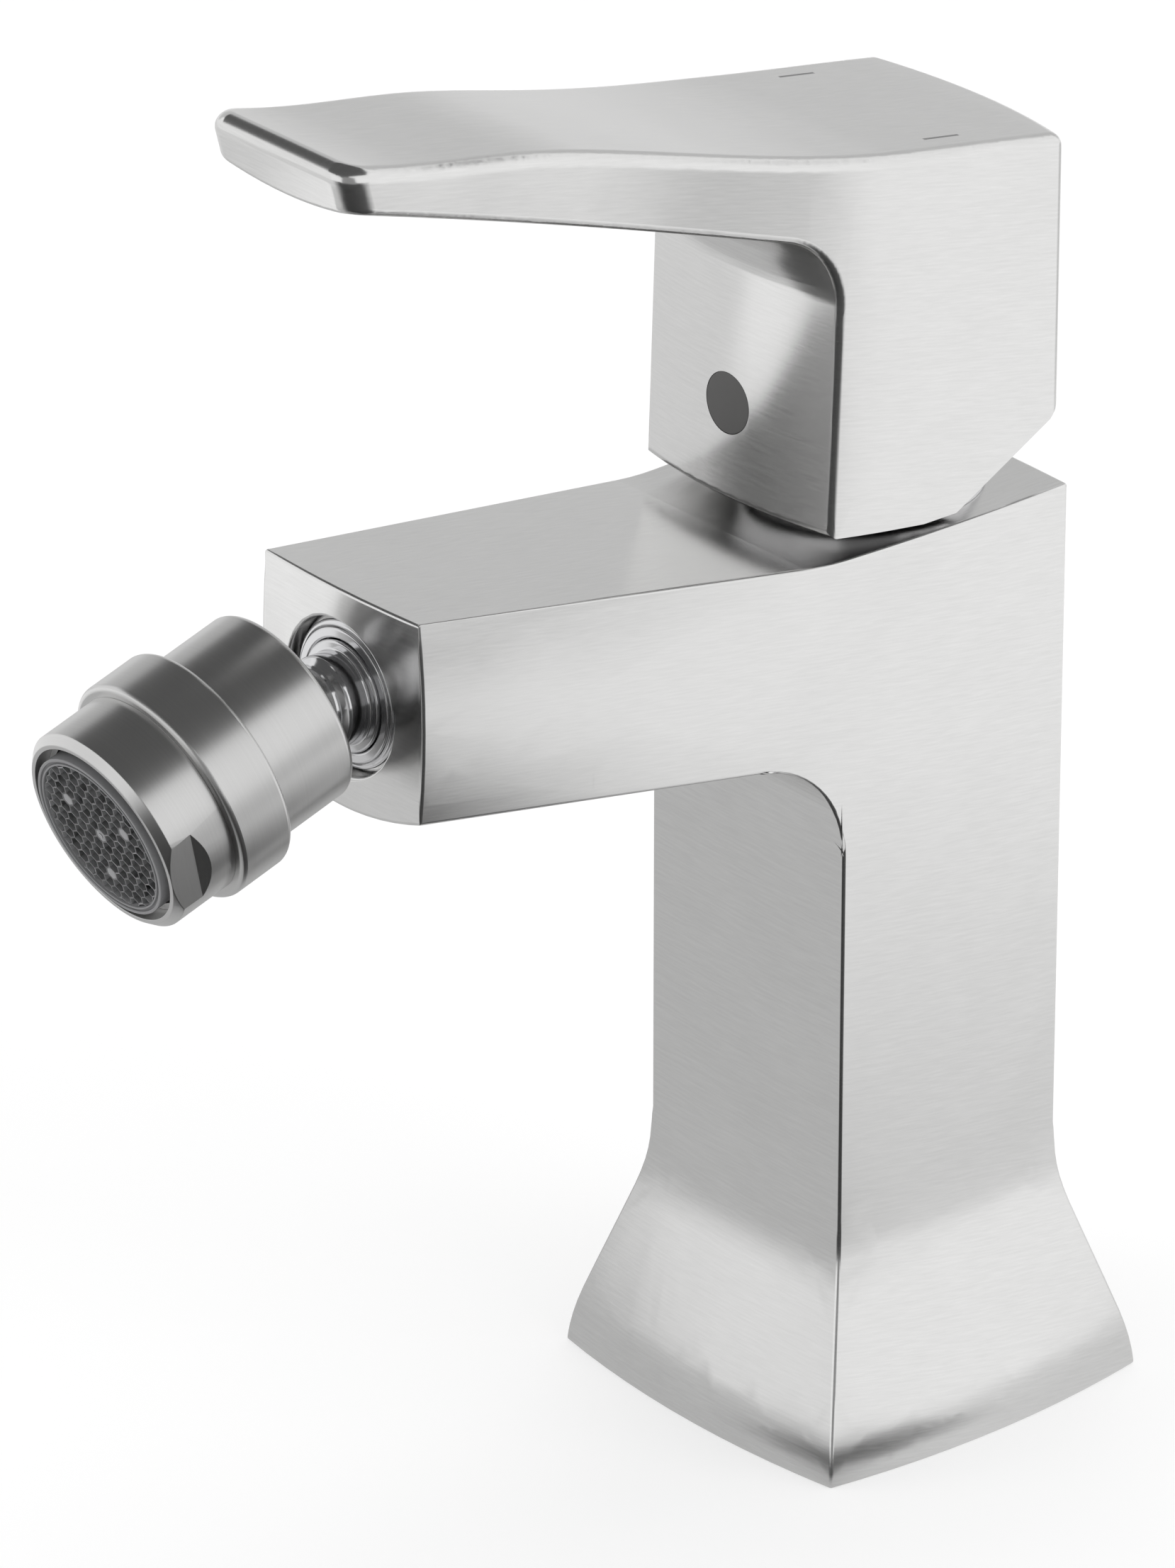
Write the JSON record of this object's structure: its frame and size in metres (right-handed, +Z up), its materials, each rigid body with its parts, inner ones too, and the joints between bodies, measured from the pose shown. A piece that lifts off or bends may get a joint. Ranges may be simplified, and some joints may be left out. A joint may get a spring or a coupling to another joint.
{
  "type": "bidet mixer",
  "caption": "Single-lever deck-mounted bidet mixer with a square column, a rising spout, a swivelling ball-jointed aerator and a long flat lever.",
  "frame": {"origin": "on the column's axis, in the plane of the deck that the foot stands on, at the mouth of the hollow foot", "axes": "+Z up along the column, -Y towards the spout's outlet, +X to the right seen from the front"},
  "size_m": [0.056, 0.1494, 0.1896],
  "materials": {
    "brushed_nickel": "fine brushed, satin",
    "polished_chrome": "polished",
    "brass_parts": "machined",
    "steel_parts": "plain",
    "cartridge_plastic": "moulded",
    "ceramic": "ground ceramic",
    "rubber_seals": "moulded",
    "seat_plastic": "moulded",
    "dark_plastic": "satin",
    "grey_plastic": "satin",
    "mark_ink": "matt"
  },
  "bodies": {
    "casting": {"body": "brushed_nickel", "base_gasket": "rubber_seals", "cartridge_base": "cartridge_plastic", "base_seals": "rubber_seals", "cartridge_housing": "cartridge_plastic", "cartridge_o_ring": "rubber_seals", "fixed_disc": "ceramic", "cartridge_nut": "brass_parts", "dome_cover": "polished_chrome", "ball_nipple": "polished_chrome", "nipple_gasket": "rubber_seals"},
    "turner": {"rotor": "cartridge_plastic", "pivot_pin": "steel_parts"},
    "lever": {"handle": "brushed_nickel", "stem": "brass_parts", "grub_screw": "steel_parts", "indicator_plug": "dark_plastic", "handle_marks": "mark_ink"},
    "carriage": {"disc_carrier": "cartridge_plastic", "moving_disc": "ceramic"},
    "collar": {"nipple_collar": "polished_chrome"},
    "seat": {"ball_seat": "seat_plastic"},
    "outlet": {"socket_body": "brushed_nickel", "seat_retainer": "brass_parts", "aerator_gasket": "rubber_seals", "aerator_housing": "brushed_nickel", "aerator_insert": "grey_plastic", "honeycomb": "grey_plastic", "flow_screen": "steel_parts"}
  },
  "joints": [
    {"name": "handle_swivel", "type": "hinge", "parent": "casting", "child": "turner", "pos_m": [0, 0, 0.1175], "axis": [0, 0, 1], "range_deg": [-45, 45]},
    {"name": "handle_lift", "type": "hinge", "parent": "turner", "child": "lever", "pos_m": [0, 0, 0.1175], "axis": [-1, 0, 0], "range_deg": [0, 24]},
    {"name": "disc_slide", "type": "slide", "parent": "turner", "child": "carriage", "axis": [0, -1, 0], "range_m": [0, 0.0045]},
    {"name": "outlet_roll", "type": "hinge", "parent": "casting", "child": "collar", "pos_m": [0, -0.0956, 0.1165], "axis": [0, 1, 0], "continuous": true},
    {"name": "outlet_tilt", "type": "hinge", "parent": "collar", "child": "seat", "pos_m": [0, -0.0956, 0.1165], "axis": [-1, 0, 0], "range_deg": [-7, 43]},
    {"name": "outlet_spin", "type": "hinge", "parent": "seat", "child": "outlet", "pos_m": [0, -0.0956, 0.1165], "axis": [0, -0.9511, -0.309], "continuous": true}
  ],
  "couplings": [
    {"joint": "disc_slide", "follows": "handle_lift", "m_per_rad": 0.010681}
  ]
}
